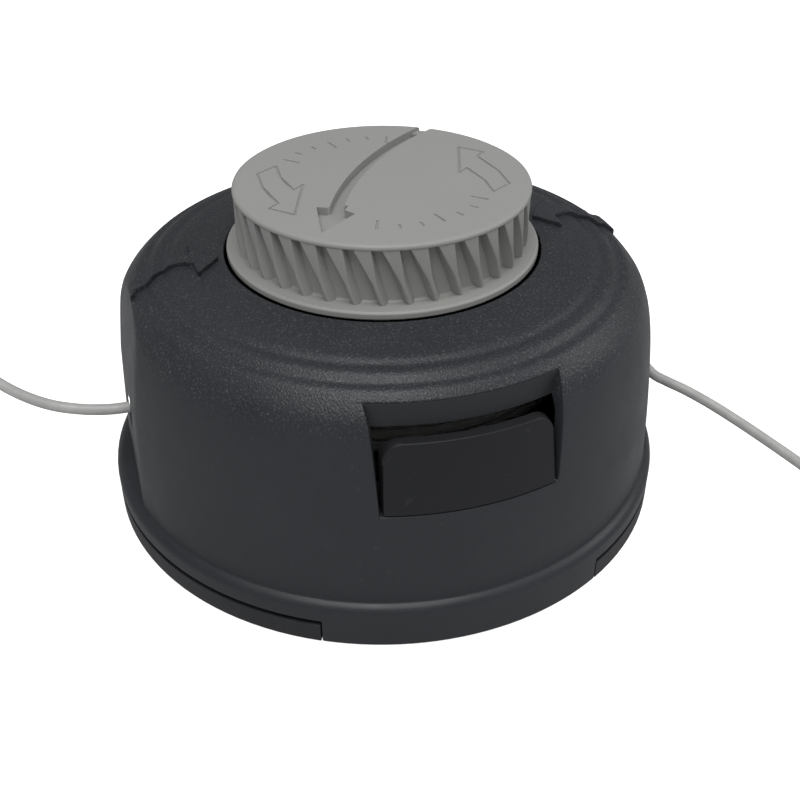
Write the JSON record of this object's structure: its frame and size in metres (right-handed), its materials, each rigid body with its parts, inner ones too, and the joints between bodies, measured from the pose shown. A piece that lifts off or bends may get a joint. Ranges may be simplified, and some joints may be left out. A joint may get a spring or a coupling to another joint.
{
  "type": "trimmer head",
  "caption": "Round bump-feed string trimmer head with a ribbed press-to-load knob, side latches and two free ends of round cutting line.",
  "frame": {"origin": "on the head's axis, in the plane of the seat that the head stands on", "axes": "+Z along the axis from the drive side to the knob; the latches are at -Y and +Y, and the lines leave at -X and +X"},
  "size_m": [0.1749, 0.124, 0.0701],
  "materials": {
    "black_plastic": "moulded, fine satin",
    "cover_plastic": "moulded, fine spark grain on the shoulder",
    "latch_plastic": "moulded, satin",
    "grey_plastic": "moulded, satin",
    "spool_plastic": "moulded, satin",
    "nylon_line": "extruded nylon, slightly cloudy",
    "acetal": "natural acetal",
    "bronze": "sintered",
    "insert_steel": "turned, zinc plated",
    "spring_steel": "drawn wire",
    "eyelet_metal": "turned, satin"
  },
  "bodies": {
    "housing": {"drive_housing": "black_plastic", "bell_cover": "cover_plastic", "eyelet_left": "eyelet_metal", "eyelet_right": "eyelet_metal", "drive_insert": "insert_steel", "insert_clip": "spring_steel", "spring_washer": "insert_steel", "compression_spring": "spring_steel", "index_ring": "acetal", "line_left": "nylon_line", "line_right": "nylon_line"},
    "carrier": {"thrust_cap": "acetal"},
    "reel": {"spool": "spool_plastic", "spool_hub": "spool_plastic", "spool_bush": "bronze", "wound_line_lower": "nylon_line", "wound_line_upper": "nylon_line", "bump_knob": "grey_plastic", "knob_screws": "insert_steel"},
    "front_latch": {"latch_tab_front": "latch_plastic"},
    "back_latch": {"latch_tab_back": "latch_plastic"}
  },
  "joints": [
    {"name": "bump_press", "type": "slide", "parent": "housing", "child": "carrier", "axis": [0, 0, -1], "range_m": [0, 0.006], "stiffness_N_per_m": 1500, "springref_m": -0.012, "deforming": ["compression_spring"]},
    {"name": "spool_turn", "type": "hinge", "parent": "carrier", "child": "reel", "pos_m": [0, 0, 0.0125], "axis": [0, 0, 1], "continuous": true},
    {"name": "latch_front_press", "type": "hinge", "parent": "housing", "child": "front_latch", "pos_m": [0, -0.0523, 0.0043], "axis": [-1, 0, 0], "range_deg": [0, 7], "stiffness_Nm_per_rad": 3, "springref_deg": -1.72},
    {"name": "latch_back_press", "type": "hinge", "parent": "housing", "child": "back_latch", "pos_m": [0, 0.0523, 0.0043], "axis": [1, 0, 0], "range_deg": [0, 7], "stiffness_Nm_per_rad": 3, "springref_deg": -1.72}
  ]
}
